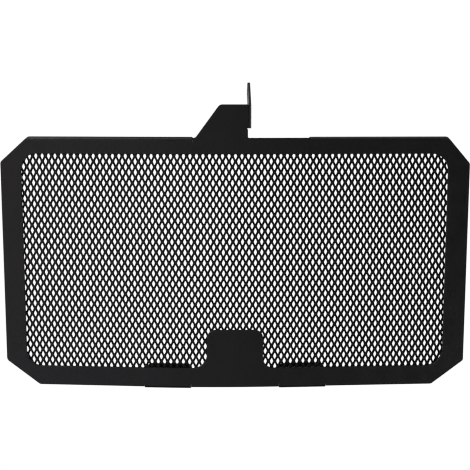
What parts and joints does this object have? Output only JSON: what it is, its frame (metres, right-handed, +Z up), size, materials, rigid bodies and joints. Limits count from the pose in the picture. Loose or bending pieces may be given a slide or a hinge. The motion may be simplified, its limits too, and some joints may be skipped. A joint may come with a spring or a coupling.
{
  "type": "motorcycle radiator guard",
  "caption": "Black coated sheet-metal guard for a motorcycle radiator: a bowed frame with an expanded-metal window, folded hooks along the bottom and a bolt ear on top.",
  "frame": {"origin": "centre of the bolt hole in the ear, at half the sheet's thickness", "axes": "+X to the right as seen from the front, +Y from the front face towards the radiator, +Z up as mounted"},
  "size_m": [0.3495, 0.0318, 0.2301],
  "materials": {
    "frame_coat": "satin black powder coat",
    "mesh_coat": "satin black powder coat"
  },
  "bodies": {
    "root": {"frame_plate": "frame_coat", "mesh_panel": "mesh_coat"}
  },
  "joints": []
}
